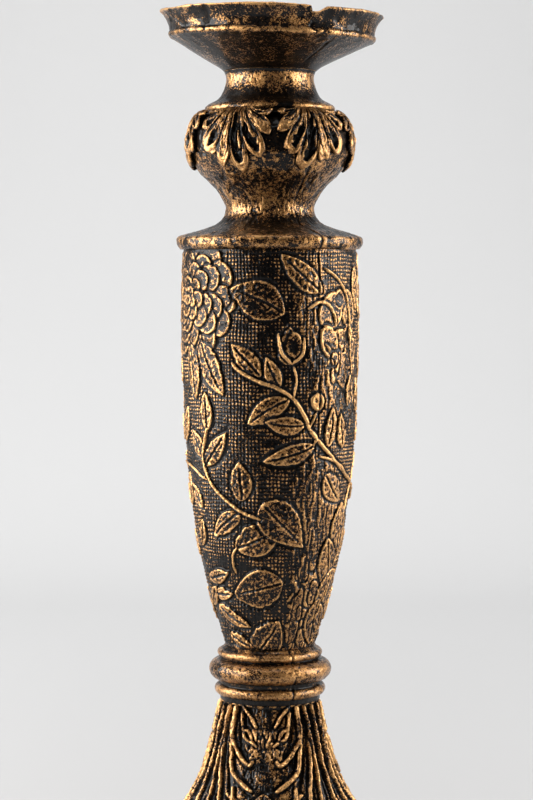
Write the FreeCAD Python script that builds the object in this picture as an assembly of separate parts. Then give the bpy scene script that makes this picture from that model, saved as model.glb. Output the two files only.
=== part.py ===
"""Altar candlestick, a stack of turned and cast sections clamped on one tie rod.

From the bottom: a felt pad, a weighted plinth closed by a screwed plate, a flared foot, a triple-moulded collar,
a tapered shaft, a knop that runs down to a wide shoulder disc, a crown of six hanging leaves, a neck spool, and a
drip pan that lifts off over a short pricket. Each section has a spigot that seats in the next one, and a steel
index pin that keeps their mould seams in line.

Frame: millimetres, +Z up along the stem, origin on the stem's axis at the underside of the felt. The front is -Y.
Writes one STEP file per piece to parts/.
"""
import FreeCAD, Part
import math
import os

# ---- Driving dimensions, in millimetres -------------------------------------------------------------------------

# Heights of the pieces, in stacking order
FELT_T = 2.0
PLINTH_H = 18.0
FOOT_H = 65.6
COLLAR_H = 24.8
SHAFT_H = 182.4
KNOP_H = 60.4
CROWN_BAND_T = 2.0
NECK_H = 18.6
PAN_H = 26.0

# Outside radii that set the silhouette
BASE_R = 57.0
FOOT_FLARE_R = 52.2
FOOT_TOP_R = 22.6
COLLAR_R = 28.1
COLLAR_TOP_BEAD_R = 24.1
COLLAR_LOW_BEAD_R = 25.5
SHAFT_FOOT_R = 20.6
SHAFT_BELLY_R = 40.3
SHAFT_TOP_R = 39.5
SHOULDER_R = 42.6
KNOP_NECK_R = 20.2
KNOP_BULB_R = 36.7
KNOP_TOP_R = 29.5
NECK_RING_R = 29.8
NECK_WAIST_R = 20.0
PAN_R = 51.0
PAN_RIDGE_R = 47.3

# Drip pan
PAN_FLOOR_R = 38.0
PAN_RECESS_DEPTH = 12.0
PAN_LIP_T = 2.0
PAN_HUB_R = 21.3
PAN_SEAT_GAP = 0.2
PAN_BOSS_GAP = 0.3

# Pricket
SPIKE_R = 2.5
SPIKE_STRAIGHT_H = 7.6
SPIKE_POINT_H = 8.0
SPIKE_TIP_R = 0.3
SPIKE_DOME_H = 0.6
SPIKE_BUTTON_GAP = 0.5
SPIKE_THREAD_L = 10.6

# Boss, pocket, gasket and key on top of the neck spool
BOSS_R = 12.0
BOSS_H = 6.2
KEY_W = 3.0
KEY_PROUD = 1.5
KEY_H = 4.6
KEY_GAP = 0.25
GASKET_T = 1.0
GASKET_IN_R = 14.9
GASKET_OUT_R = 19.1
GASKET_GAP = 0.1

# Leaf crown
LEAF_COUNT = 6
LEAF_TURN = 3.0
LEAF_T = 2.2
LEAF_GAP = 0.15
LEAF_W = 25.0
LEAF_DROP = 25.6

# Tie rod and its fastenings
ROD_R = 4.0
ROD_BORE_GAP = 0.5
THREAD_GAP = 0.05
ROD_END_PROUD = 0.7
NUT_AF = 13.0
NUT_H = 6.5
COUPLING_L = 22.0
WASHER_T = 1.6
WASHER_GAP = 0.2
TOP_WASHER_R = 8.0
BOTTOM_WASHER_R = 11.0
LOCK_WASHER_R = 7.0
LOCK_WASHER_T = 2.0
LOCK_WASHER_SPLIT = 1.2
POCKET_GAP = 0.4

# Spigots between the sections
SPIGOT_GAP = 0.2
SPIGOT_END_GAP = 0.4
PLINTH_BOSS_R = 30.0
PLINTH_BOSS_H = 4.0
COLLAR_SPIGOT_R = 14.0
COLLAR_SPIGOT_L = 4.6
KNOP_SPIGOT_R = 30.0
KNOP_SPIGOT_L = 5.0
NECK_SPIGOT_R = 17.0
NECK_SPIGOT_L = 6.0

# Index pins
PIN_R = 1.5
PIN_L = 9.0
PIN_GAP = 0.05
SEAM_ANGLE = -60.0
PIN_WIDE_RADIUS = 20.0
PIN_NARROW_RADIUS = 9.4
PIN_NECK_RADIUS = 11.8

# Weighted base
WEB_T = 4.0
PLATE_T = 2.5
PLATE_R = 49.0
PLATE_GAP = 0.2
BALLAST_R = 40.0
BALLAST_GAP = 0.3
BALLAST_WELL_R = 12.5
FELT_MARGIN = 3.0
SCREW_COUNT = 4
SCREW_RADIUS = 44.8
SCREW_R = 1.5
SCREW_HEAD_R = 3.2
SCREW_L = 11.0
SCREW_GAP = 0.05

# ---- Heights worked out from the stack -----------------------------------------------------------------------------

Z_PLINTH = FELT_T
Z_FOOT = Z_PLINTH + PLINTH_H
Z_COLLAR = Z_FOOT + FOOT_H
Z_SHAFT = Z_COLLAR + COLLAR_H
Z_KNOP = Z_SHAFT + SHAFT_H
Z_CROWN = Z_KNOP + KNOP_H
Z_NECK = Z_CROWN + CROWN_BAND_T
Z_SEAT = Z_NECK + NECK_H
Z_PAN = Z_SEAT + PAN_SEAT_GAP
Z_TOP = Z_PAN + PAN_H
Z_PAN_FLOOR = Z_TOP - PAN_RECESS_DEPTH

Z_BOSS_TOP = Z_SEAT + BOSS_H
Z_COUPLING_TOP = Z_BOSS_TOP - 0.4
Z_COUPLING = Z_COUPLING_TOP - COUPLING_L
Z_POCKET = Z_COUPLING - WASHER_T
Z_ROD_TOP = Z_COUPLING + COUPLING_L / 2 - 0.5

Z_PLATE_TOP = Z_PLINTH + PLATE_T
Z_WEB = Z_FOOT - WEB_T
Z_NUT_TOP = Z_WEB - WASHER_T - LOCK_WASHER_T
Z_NUT = Z_NUT_TOP - NUT_H
Z_ROD_BOTTOM = Z_NUT - ROD_END_PROUD

ROD_BORE_R = ROD_R + ROD_BORE_GAP
THREAD_R = ROD_R - THREAD_GAP
POCKET_R = max(TOP_WASHER_R, NUT_AF / math.sqrt(3)) + POCKET_GAP
HUB_HOLE_R = BOSS_R + PAN_BOSS_GAP
BUTTON_R = HUB_HOLE_R - SPIKE_BUTTON_GAP

# The bulb of the knop is two arcs that meet at its widest point.
Z_BULB = Z_CROWN - 0.202 * KNOP_H
BULB_LOW_DROP = 0.248 * KNOP_H
BULB_LOW_R = 0.83 * KNOP_BULB_R


def tangent_centre(widest_r, other_r, height):
    """Radius at which an arc's centre lies, level with its widest point, if it also passes other_r at that height."""
    return (widest_r**2 - other_r**2 - height**2) / (2 * (widest_r - other_r))


BULB_TOP_CENTRE_R = tangent_centre(KNOP_BULB_R, KNOP_TOP_R, Z_CROWN - Z_BULB)
BULB_LOW_CENTRE_R = tangent_centre(KNOP_BULB_R, BULB_LOW_R, BULB_LOW_DROP)


# ---- Small tools ---------------------------------------------------------------------------------------------------


def vector(r, z, y=0.0):
    return FreeCAD.Vector(r, y, z)


class Outline:
    """A closed half-section in the radius and height plane, drawn edge by edge, then turned round the stem's axis."""

    def __init__(self, r, z):
        self.start = vector(r, z)
        self.at = self.start
        self.edges = []

    def line(self, r, z):
        to = vector(r, z)
        self.edges.append(Part.makeLine(self.at, to))
        self.at = to
        return self

    def arc(self, through, to):
        end = vector(*to)
        self.edges.append(Part.Arc(self.at, vector(*through), end).toShape())
        self.at = end
        return self

    def curve(self, *points):
        spline = Part.BSplineCurve()
        spline.interpolate([self.at] + [vector(*p) for p in points])
        self.edges.append(spline.toShape())
        self.at = vector(*points[-1])
        return self

    def turn(self):
        if self.at.distanceToPoint(self.start) > 1e-6:
            self.edges.append(Part.makeLine(self.at, self.start))
        face = Part.Face(Part.Wire(self.edges))
        return face.revolve(vector(0, 0), vector(0, 1), 360)


def arc_point(centre_r, centre_z, radius, z):
    """(r, z) on the outer side of a circle, at height z."""
    return centre_r + math.sqrt(radius**2 - (z - centre_z) ** 2), z


def tube(inner_r, outer_r, z0, z1):
    return Outline(inner_r, z0).line(outer_r, z0).line(outer_r, z1).line(inner_r, z1).turn()


def rod(radius, z0, z1, x=0.0, y=0.0):
    return Part.makeCylinder(radius, z1 - z0, FreeCAD.Vector(x, y, z0))


def hexagon(across_flats, z0, z1):
    corner = across_flats / math.sqrt(3)
    points = [FreeCAD.Vector(corner * math.cos(a), corner * math.sin(a), z0)
              for a in (math.radians(60 * i) for i in range(7))]
    return Part.Face(Part.makePolygon(points)).extrude(FreeCAD.Vector(0, 0, z1 - z0))


def hex_nut(z0, z1):
    """A hexagon whose corners are rounded off by a cone at each end, with a plain hole at the thread's radius."""
    corner = NUT_AF / math.sqrt(3)
    chamfer = corner - NUT_AF / 2
    barrel = (Outline(0, z0).line(NUT_AF / 2, z0).line(corner, z0 + chamfer)
              .line(corner, z1 - chamfer).line(NUT_AF / 2, z1).line(0, z1).turn())
    return hexagon(NUT_AF, z0, z1).common(barrel).cut(rod(ROD_R, z0 - 1, z1 + 1))


def at_angle(shape, degrees):
    turned = shape.copy()
    turned.rotate(FreeCAD.Vector(0, 0, 0), FreeCAD.Vector(0, 0, 1), degrees)
    return turned


def polar(radius, degrees):
    return radius * math.cos(math.radians(degrees)), radius * math.sin(math.radians(degrees))


def save(name, shape):
    if not isinstance(shape, list):
        shape = shape.Solids
    solids = Part.makeCompound(shape) if len(shape) > 1 else shape[0]
    solids.exportStep(f"parts/{name}.step")
    volume = sum(s.Volume for s in shape) / 1000
    print(f"{name}: {len(shape)} solid(s), {volume:.2f} cm3, valid {all(s.isValid() for s in shape)}")


# ---- Index pins: (distance from the axis, height of the plane each one crosses) ------------------------------------

PIN_PLACES = {
    "plinth_to_foot": (PIN_WIDE_RADIUS, Z_FOOT + PLINTH_BOSS_H),
    "foot_to_collar": (PIN_NARROW_RADIUS, Z_COLLAR - COLLAR_SPIGOT_L),
    "collar_to_shaft": (PIN_NARROW_RADIUS, Z_SHAFT + COLLAR_SPIGOT_L),
    "shaft_to_knop": (PIN_WIDE_RADIUS, Z_KNOP - KNOP_SPIGOT_L),
    "knop_to_neck": (PIN_NECK_RADIUS, Z_NECK - NECK_SPIGOT_L),
}


def pin(place, gap=0.0):
    """The pin at a place, or with a gap the hole for it."""
    radius, z = PIN_PLACES[place]
    x, y = polar(radius, SEAM_ANGLE)
    return rod(PIN_R + gap, z - PIN_L / 2 - gap, z + PIN_L / 2 + gap, x, y)


def drilled(shape, *places):
    for place in places:
        shape = shape.cut(pin(place, PIN_GAP))
    return shape


# ---- The pieces ----------------------------------------------------------------------------------------------------


def felt_pad():
    return rod(BASE_R - FELT_MARGIN, 0, FELT_T)


def screw_places():
    step = 360 / SCREW_COUNT
    return [polar(SCREW_RADIUS, step * (i + 0.5)) for i in range(SCREW_COUNT)]


def countersunk(x, y, gap=0.0):
    """A countersunk screw, or with a gap the hole for it."""
    head_h = SCREW_HEAD_R - SCREW_R
    head = Part.makeCone(SCREW_HEAD_R + gap, SCREW_R + gap, head_h, FreeCAD.Vector(x, y, Z_PLINTH))
    return head.fuse(rod(SCREW_R + gap, Z_PLINTH, Z_PLINTH + SCREW_L + gap, x, y)).removeSplitter()


def base_plate():
    plate = rod(PLATE_R, Z_PLINTH, Z_PLATE_TOP)
    for x, y in screw_places():
        plate = plate.cut(countersunk(x, y, SCREW_GAP))
    return plate


def base_screws():
    return [countersunk(x, y).Solids[0] for x, y in screw_places()]


def ballast_weight():
    return tube(BALLAST_WELL_R, BALLAST_R, Z_PLATE_TOP, Z_WEB)


def base_plinth():
    ledge = Z_PLINTH + 0.45 * PLINTH_H
    step_r = FOOT_FLARE_R + 1.8
    edge = 1.6
    outline = (Outline(PLATE_R + PLATE_GAP, Z_PLINTH)
               .line(PLATE_R + PLATE_GAP, Z_PLATE_TOP)
               .line(BALLAST_R + BALLAST_GAP, Z_PLATE_TOP)
               .line(BALLAST_R + BALLAST_GAP, Z_WEB)
               .line(ROD_BORE_R, Z_WEB)
               .line(ROD_BORE_R, Z_FOOT + PLINTH_BOSS_H)
               .line(PLINTH_BOSS_R, Z_FOOT + PLINTH_BOSS_H)
               .line(PLINTH_BOSS_R, Z_FOOT)
               .line(step_r - edge, Z_FOOT)
               .arc((step_r - 0.3 * edge, Z_FOOT - 0.3 * edge), (step_r, Z_FOOT - edge))
               .line(step_r, ledge + 3.4)
               .arc((step_r + 0.9, ledge + 1.0), (BASE_R - edge / 2, ledge))
               .arc((BASE_R - 0.15, ledge - 0.35), (BASE_R, ledge - edge / 2))
               .line(BASE_R, Z_PLINTH + edge)
               .arc((BASE_R - 0.3 * edge, Z_PLINTH + 0.3 * edge), (BASE_R - edge, Z_PLINTH)))
    plinth = outline.turn()
    for x, y in screw_places():
        plinth = plinth.cut(rod(SCREW_R + SCREW_GAP, Z_PLINTH, Z_PLINTH + SCREW_L + 0.5, x, y))
    return drilled(plinth, "plinth_to_foot")


def leaf_foot():
    """A trumpet: nearly straight below the collar, then flaring faster towards the plinth."""
    reach = FOOT_FLARE_R - FOOT_TOP_R
    lip = 1.2
    flare = [(0.83, 0.088), (0.66, 0.178), (0.50, 0.290), (0.36, 0.425), (0.24, 0.585), (0.12, 0.785)]
    outline = (Outline(PLINTH_BOSS_R + SPIGOT_GAP, Z_FOOT)
               .line(PLINTH_BOSS_R + SPIGOT_GAP, Z_FOOT + PLINTH_BOSS_H + SPIGOT_END_GAP)
               .line(ROD_BORE_R, Z_FOOT + PLINTH_BOSS_H + SPIGOT_END_GAP)
               .line(ROD_BORE_R, Z_COLLAR - COLLAR_SPIGOT_L - SPIGOT_END_GAP)
               .line(COLLAR_SPIGOT_R + SPIGOT_GAP, Z_COLLAR - COLLAR_SPIGOT_L - SPIGOT_END_GAP)
               .line(COLLAR_SPIGOT_R + SPIGOT_GAP, Z_COLLAR)
               .line(FOOT_TOP_R, Z_COLLAR)
               .curve(*[(FOOT_TOP_R + reach * out, Z_FOOT + FOOT_H * up) for up, out in flare],
                      (FOOT_FLARE_R - 0.4, Z_FOOT + lip))
               .arc((FOOT_FLARE_R, Z_FOOT + 0.6 * lip), (FOOT_FLARE_R - 0.3, Z_FOOT)))
    return drilled(outline.turn(), "plinth_to_foot", "foot_to_collar")


def collar_ring():
    """A large bead between two small ones, each a round arc, with narrow grooves between."""
    low_bead, big_bead, top_bead = 2.4, 4.6, 1.9
    low_z = Z_COLLAR + 0.195 * COLLAR_H
    big_z = Z_COLLAR + 0.565 * COLLAR_H
    top_z = Z_COLLAR + 0.868 * COLLAR_H
    low_r = COLLAR_LOW_BEAD_R - low_bead
    big_r = COLLAR_R - big_bead
    top_r = COLLAR_TOP_BEAD_R - top_bead
    outline = (Outline(ROD_BORE_R, Z_COLLAR - COLLAR_SPIGOT_L)
               .line(COLLAR_SPIGOT_R, Z_COLLAR - COLLAR_SPIGOT_L)
               .line(COLLAR_SPIGOT_R, Z_COLLAR)
               .line(FOOT_TOP_R + 0.3, Z_COLLAR)
               .line(low_r, low_z - low_bead)
               .arc((COLLAR_LOW_BEAD_R, low_z), (low_r, low_z + low_bead))
               .line(big_r, big_z - big_bead)
               .arc((COLLAR_R, big_z), (big_r, big_z + big_bead))
               .line(top_r, top_z - top_bead)
               .arc((COLLAR_TOP_BEAD_R, top_z), (top_r, top_z + top_bead))
               .line(SHAFT_FOOT_R + 0.4, Z_SHAFT)
               .line(COLLAR_SPIGOT_R, Z_SHAFT)
               .line(COLLAR_SPIGOT_R, Z_SHAFT + COLLAR_SPIGOT_L)
               .line(ROD_BORE_R, Z_SHAFT + COLLAR_SPIGOT_L))
    return drilled(outline.turn(), "foot_to_collar", "collar_to_shaft")


def relief_shaft():
    """Nearly straight over its upper half, then tapering faster and faster to the collar."""
    reach = SHAFT_BELLY_R - SHAFT_FOOT_R
    taper = [(0.08, 0.225), (0.20, 0.530), (0.36, 0.780), (0.52, 0.930), (0.68, 0.990), (0.84, 1.0)]
    outline = (Outline(ROD_BORE_R, Z_SHAFT + COLLAR_SPIGOT_L + SPIGOT_END_GAP)
               .line(COLLAR_SPIGOT_R + SPIGOT_GAP, Z_SHAFT + COLLAR_SPIGOT_L + SPIGOT_END_GAP)
               .line(COLLAR_SPIGOT_R + SPIGOT_GAP, Z_SHAFT)
               .line(SHAFT_FOOT_R, Z_SHAFT)
               .curve(*[(SHAFT_FOOT_R + reach * out, Z_SHAFT + SHAFT_H * up) for up, out in taper],
                      (SHAFT_TOP_R, Z_KNOP))
               .line(KNOP_SPIGOT_R + SPIGOT_GAP, Z_KNOP)
               .line(KNOP_SPIGOT_R + SPIGOT_GAP, Z_KNOP - KNOP_SPIGOT_L - SPIGOT_END_GAP)
               .line(ROD_BORE_R, Z_KNOP - KNOP_SPIGOT_L - SPIGOT_END_GAP))
    return drilled(outline.turn(), "collar_to_shaft", "shaft_to_knop")


def knop_spool():
    """A bulb over a waist that runs out into the shoulder disc."""
    disc_mid = Z_KNOP + 0.060 * KNOP_H
    disc_top = Z_KNOP + 0.096 * KNOP_H
    waist = Z_KNOP + 0.308 * KNOP_H
    socket_floor = Z_NECK - NECK_SPIGOT_L - SPIGOT_END_GAP
    gain = SHOULDER_R - KNOP_NECK_R
    low_z = Z_BULB - BULB_LOW_DROP
    low_radius = KNOP_BULB_R - BULB_LOW_CENTRE_R
    top_radius = KNOP_BULB_R - BULB_TOP_CENTRE_R
    half_low = arc_point(BULB_LOW_CENTRE_R, Z_BULB, low_radius, Z_BULB - BULB_LOW_DROP / 2)
    half_top = arc_point(BULB_TOP_CENTRE_R, Z_BULB, top_radius, (Z_BULB + Z_CROWN) / 2)
    outline = (Outline(ROD_BORE_R, Z_KNOP - KNOP_SPIGOT_L)
               .line(KNOP_SPIGOT_R, Z_KNOP - KNOP_SPIGOT_L)
               .line(KNOP_SPIGOT_R, Z_KNOP)
               .line(SHOULDER_R - 1.6, Z_KNOP)
               .arc((SHOULDER_R - 0.3, Z_KNOP + 0.025 * KNOP_H), (SHOULDER_R, disc_mid))
               .arc((SHOULDER_R - 0.4, disc_mid + 0.7 * (disc_top - disc_mid)), (SHOULDER_R - 1.3, disc_top))
               .curve((KNOP_NECK_R + 0.63 * gain, Z_KNOP + 0.130 * KNOP_H),
                      (KNOP_NECK_R + 0.38 * gain, Z_KNOP + 0.158 * KNOP_H),
                      (KNOP_NECK_R + 0.18 * gain, Z_KNOP + 0.190 * KNOP_H),
                      (KNOP_NECK_R + 0.035 * gain, Z_KNOP + 0.250 * KNOP_H),
                      (KNOP_NECK_R, waist),
                      (KNOP_NECK_R + 0.055 * gain, Z_KNOP + 0.366 * KNOP_H),
                      (KNOP_NECK_R + 0.225 * gain, Z_KNOP + 0.462 * KNOP_H),
                      (BULB_LOW_R, low_z))
               .arc(half_low, (KNOP_BULB_R, Z_BULB))
               .arc(half_top, (KNOP_TOP_R, Z_CROWN))
               .line(NECK_SPIGOT_R + SPIGOT_GAP, Z_CROWN)
               .line(NECK_SPIGOT_R + SPIGOT_GAP, socket_floor)
               .line(ROD_BORE_R, socket_floor))
    return drilled(outline.turn(), "shaft_to_knop", "knop_to_neck")


def leaf_shape():
    """One leaf, seen square on, as a prism along +X: five lobes a side, the last pair at its round tip."""
    half, drop, top = LEAF_W / 2, LEAF_DROP, Z_NECK + 1
    side = [(0.62, 0.10), (0.80, 0.28), (0.62, 0.40), (1.00, 0.60), (0.86, 0.71), (0.50, 0.68),
            (0.52, 0.86), (0.38, 0.98), (0.14, 1.00)]
    right = [(half * out, Z_NECK - drop * down) for out, down in side]
    left = [(-y, z) for y, z in reversed(right)]
    edge = [FreeCAD.Vector(5, y, z) for y, z in right + left]
    spline = Part.BSplineCurve()
    spline.interpolate(edge)
    shoulder = right[0][0]
    top_edges = Part.makePolygon([edge[-1], FreeCAD.Vector(5, -shoulder, top),
                                  FreeCAD.Vector(5, shoulder, top), edge[0]])
    face = Part.Face(Part.Wire([spline.toShape()] + top_edges.Edges))
    return face.extrude(FreeCAD.Vector(BASE_R, 0, 0))


def leaf_crown():
    """A flat band under the neck spool, with leaves hanging from it over the bulb."""
    inside, outside = LEAF_GAP, LEAF_GAP + LEAF_T
    top_radius = KNOP_BULB_R - BULB_TOP_CENTRE_R
    low_radius = KNOP_BULB_R - BULB_LOW_CENTRE_R
    low_z = Z_BULB - 0.93 * BULB_LOW_DROP

    def on_top(offset, z):
        return arc_point(BULB_TOP_CENTRE_R, Z_BULB, top_radius + offset, z)

    def on_low(offset, z):
        return arc_point(BULB_LOW_CENTRE_R, Z_BULB, low_radius + offset, z)

    mid_top = (Z_BULB + Z_CROWN) / 2
    mid_low = (Z_BULB + low_z) / 2
    bell = (Outline(NECK_SPIGOT_R + SPIGOT_GAP, Z_CROWN)
            .line(*on_top(inside, Z_CROWN))
            .arc(on_top(inside, mid_top), (KNOP_BULB_R + inside, Z_BULB))
            .arc(on_low(inside, mid_low), on_low(inside, low_z))
            .line(*on_low(outside, low_z - 0.5))
            .arc(on_low(outside, mid_low), (KNOP_BULB_R + outside, Z_BULB))
            .arc(on_top(outside, mid_top), on_top(outside, Z_NECK))
            .line(NECK_SPIGOT_R + SPIGOT_GAP, Z_NECK).turn())
    crown = bell.common(rod(NECK_RING_R - 0.6, Z_CROWN, Z_NECK))
    leaf = bell.common(leaf_shape())
    for i in range(LEAF_COUNT):
        crown = crown.fuse(at_angle(leaf, LEAF_TURN + 360 / LEAF_COUNT * i))
    return crown.removeSplitter()


def key(gap=0.0):
    """The key on the boss, or with a gap the slot for it, at the seam."""
    bar = Part.makeBox(KEY_PROUD + 1 + gap, KEY_W + 2 * gap, KEY_H + gap,
                       FreeCAD.Vector(BOSS_R - 1, -KEY_W / 2 - gap, Z_SEAT))
    return at_angle(bar, SEAM_ANGLE)


def neck_spool():
    """A waisted spool: a rounded ring at its foot, a flat seat on top, and a boss that the pan drops over."""
    gain = NECK_RING_R - NECK_WAIST_R
    ring_h = 0.14 * NECK_H
    groove_floor = Z_PAN - GASKET_T
    outline = (Outline(ROD_BORE_R, Z_NECK - NECK_SPIGOT_L)
               .line(NECK_SPIGOT_R, Z_NECK - NECK_SPIGOT_L)
               .line(NECK_SPIGOT_R, Z_NECK)
               .line(NECK_RING_R - 0.6, Z_NECK)
               .arc((NECK_RING_R, Z_NECK + ring_h / 2), (NECK_RING_R - 0.6, Z_NECK + ring_h))
               .curve((NECK_WAIST_R + 0.70 * gain, Z_NECK + 0.215 * NECK_H),
                      (NECK_WAIST_R + 0.37 * gain, Z_NECK + 0.315 * NECK_H),
                      (NECK_WAIST_R + 0.22 * gain, Z_NECK + 0.420 * NECK_H),
                      (NECK_WAIST_R + 0.07 * gain, Z_NECK + 0.610 * NECK_H),
                      (NECK_WAIST_R, Z_NECK + 0.800 * NECK_H),
                      (PAN_HUB_R - 0.3, Z_SEAT))
               .line(GASKET_OUT_R + GASKET_GAP, Z_SEAT)
               .line(GASKET_OUT_R + GASKET_GAP, groove_floor)
               .line(GASKET_IN_R - GASKET_GAP, groove_floor)
               .line(GASKET_IN_R - GASKET_GAP, Z_SEAT)
               .line(BOSS_R, Z_SEAT)
               .line(BOSS_R, Z_BOSS_TOP)
               .line(POCKET_R, Z_BOSS_TOP)
               .line(POCKET_R, Z_POCKET)
               .line(ROD_BORE_R, Z_POCKET))
    return drilled(outline.turn().fuse(key()).removeSplitter(), "knop_to_neck")


def pan_gasket():
    return tube(GASKET_IN_R, GASKET_OUT_R, Z_PAN - GASKET_T, Z_PAN)


def wax_pan():
    """A shallow dish on a solid cone: a hollow rim band over a sharp ridge, then a straight cone down to the hub."""
    ridge_z = Z_PAN + 0.588 * PAN_H
    cone_r = PAN_RIDGE_R - 1.5
    cove_r = PAN_RIDGE_R - 0.8
    lip_z = Z_TOP - 0.8
    wall_foot = Z_PAN_FLOOR + 1.4
    outline = (Outline(HUB_HOLE_R, Z_PAN)
               .line(PAN_HUB_R, Z_PAN)
               .curve((PAN_HUB_R + 0.9, Z_PAN + 0.030 * PAN_H), (PAN_HUB_R + 2.5, Z_PAN + 0.075 * PAN_H))
               .line(cone_r, ridge_z - 1.6)
               .arc((PAN_RIDGE_R, ridge_z - 0.3), (cove_r, ridge_z + 1.4))
               .arc((cove_r + 0.8, (ridge_z + lip_z) / 2), (PAN_R, lip_z))
               .arc((PAN_R - 0.4, Z_TOP - 0.15), (PAN_R - PAN_LIP_T / 2, Z_TOP))
               .arc((PAN_R - PAN_LIP_T + 0.3, Z_TOP - 0.2), (PAN_R - PAN_LIP_T, lip_z))
               .line(PAN_FLOOR_R + 1.8, wall_foot)
               .arc((PAN_FLOOR_R + 1.0, Z_PAN_FLOOR + 0.4), (PAN_FLOOR_R, Z_PAN_FLOOR))
               .line(HUB_HOLE_R, Z_PAN_FLOOR))
    return outline.turn().cut(key(KEY_GAP))


def pricket_spike():
    """A short spike on a round button that fills the pan's hub hole, with a threaded shank below."""
    straight_top = Z_PAN_FLOOR + SPIKE_DOME_H + SPIKE_STRAIGHT_H
    return (Outline(0, Z_BOSS_TOP - SPIKE_THREAD_L)
            .line(THREAD_R, Z_BOSS_TOP - SPIKE_THREAD_L)
            .line(THREAD_R, Z_BOSS_TOP)
            .line(BUTTON_R, Z_BOSS_TOP)
            .line(BUTTON_R, Z_PAN_FLOOR - SPIKE_DOME_H)
            .arc((BUTTON_R / 2, Z_PAN_FLOOR + 0.5 * SPIKE_DOME_H), (SPIKE_R, Z_PAN_FLOOR + SPIKE_DOME_H))
            .line(SPIKE_R, straight_top)
            .line(SPIKE_TIP_R, straight_top + SPIKE_POINT_H)
            .line(0, straight_top + SPIKE_POINT_H).turn())


def tie_rod():
    return rod(THREAD_R, Z_ROD_BOTTOM, Z_ROD_TOP)


def coupling_nut():
    return hex_nut(Z_COUPLING, Z_COUPLING_TOP)


def top_washer():
    return tube(ROD_R + WASHER_GAP, TOP_WASHER_R, Z_POCKET, Z_COUPLING)


def bottom_washer():
    return tube(ROD_R + WASHER_GAP, BOTTOM_WASHER_R, Z_WEB - WASHER_T, Z_WEB)


def lock_washer():
    ring = tube(ROD_R + WASHER_GAP, LOCK_WASHER_R, Z_NUT_TOP, Z_NUT_TOP + LOCK_WASHER_T)
    split = Part.makeBox(2 * LOCK_WASHER_R, LOCK_WASHER_SPLIT, 2 * LOCK_WASHER_T,
                         FreeCAD.Vector(0, -LOCK_WASHER_SPLIT / 2, Z_NUT_TOP - LOCK_WASHER_T / 2))
    return ring.cut(split)


def bottom_nut():
    return hex_nut(Z_NUT, Z_NUT_TOP)


def index_pins():
    return [pin(place) for place in PIN_PLACES]


PIECES = [felt_pad, base_plate, base_screws, ballast_weight, base_plinth, leaf_foot, collar_ring, relief_shaft,
          knop_spool, leaf_crown, neck_spool, pan_gasket, wax_pan, pricket_spike, tie_rod, coupling_nut, top_washer,
          bottom_washer, lock_washer, bottom_nut, index_pins]

os.makedirs("parts", exist_ok=True)
for piece in PIECES:
    save(piece.__name__, piece())
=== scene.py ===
"""Looks of an altar candlestick: cast sections in near-black lacquer, with gold rubbed over their relief.

Each casting's skin is its CAD section, measured from the frame and turned into a fine grid, then carved by
a height map drawn stroke by stroke: linen, vines, leaves, roses, ribs and cuts. Places are an azimuth in
degrees, 0 at the front (-Y) and growing towards the right (+X), and a height in millimetres. The attribute
"wear" is how far a point stands above its surroundings, and tells the paint where to rub gold. The attribute
"tone" adds broad lighter and darker places to it. Some are the paint's own patches, and some are painted
highlight and painted shade, put where the lamps light a casting or leave it dark.
"""
import math

import bpy
import numpy as np
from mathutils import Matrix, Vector
from mathutils.bvhtree import BVHTree


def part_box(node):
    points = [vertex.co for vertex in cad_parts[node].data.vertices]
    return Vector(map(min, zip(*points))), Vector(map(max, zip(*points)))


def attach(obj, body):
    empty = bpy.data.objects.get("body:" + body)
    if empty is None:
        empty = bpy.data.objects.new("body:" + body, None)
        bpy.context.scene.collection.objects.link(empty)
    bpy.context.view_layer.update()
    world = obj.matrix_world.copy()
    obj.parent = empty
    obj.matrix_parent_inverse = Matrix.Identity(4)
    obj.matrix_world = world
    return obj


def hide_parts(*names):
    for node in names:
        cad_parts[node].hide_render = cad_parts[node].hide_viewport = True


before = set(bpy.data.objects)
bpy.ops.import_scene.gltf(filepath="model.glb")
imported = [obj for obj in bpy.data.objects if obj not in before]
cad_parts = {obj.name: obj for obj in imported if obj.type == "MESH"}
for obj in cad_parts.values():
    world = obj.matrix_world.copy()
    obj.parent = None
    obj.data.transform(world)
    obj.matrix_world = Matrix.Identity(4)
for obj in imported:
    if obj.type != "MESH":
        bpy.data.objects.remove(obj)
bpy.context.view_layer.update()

MM = 0.001
GRID = 0.45  # spacing of the finest relief, mm
BORE = 4.5  # radius of the castings' bore for the tie rod, mm
SEAM = 33.0  # azimuth of the mould's front seam, degrees; the other is opposite
SIDES = (0, 180)  # turns of the two halves of the two-part mould, degrees
STEM, PAN = "stem", "drip_pan"


# ---- Measuring the frame ----

PROBE_STEP = 0.1  # from one measured point of a section to the next, mm
BESIDE, ABOVE = 0.3, 1.0  # where rays from the side and from above start, m
OFF_SEAM = 1e-5  # keeps those rays off the edges in the plane of the section, m


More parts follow.
